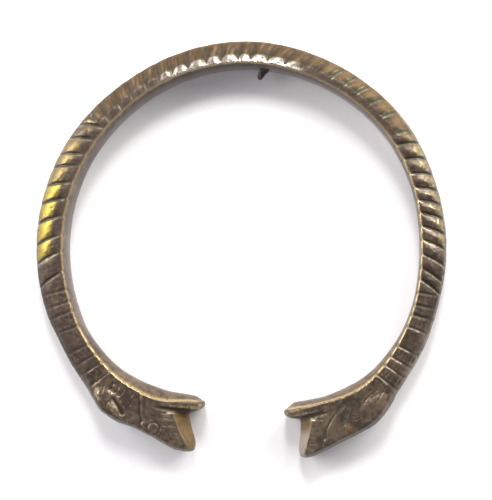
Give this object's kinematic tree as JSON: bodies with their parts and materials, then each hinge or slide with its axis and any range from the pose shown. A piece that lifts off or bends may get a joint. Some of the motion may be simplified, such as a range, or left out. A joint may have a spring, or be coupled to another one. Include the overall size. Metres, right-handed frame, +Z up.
{
  "type": "snake bracelet",
  "caption": "Open cuff bracelet of cast brass: a slant-grooved hoop with collared, open-mouthed serpent heads that face each other across the wrist gap.",
  "frame": {"origin": "middle of the bracelet's outline, on the plane of the underside that it lies on", "axes": "+Z up out of the carved side, +Y towards the back of the hoop, so the gap between the heads is at -Y; seen from +Z the longer head is at -X"},
  "size_m": [0.0718, 0.0726, 0.0066],
  "materials": {
    "bracelet": "old brass with a dark brown patina, rubbed bright along its edges"
  },
  "bodies": {
    "root": {"bracelet": "bracelet"}
  },
  "joints": []
}
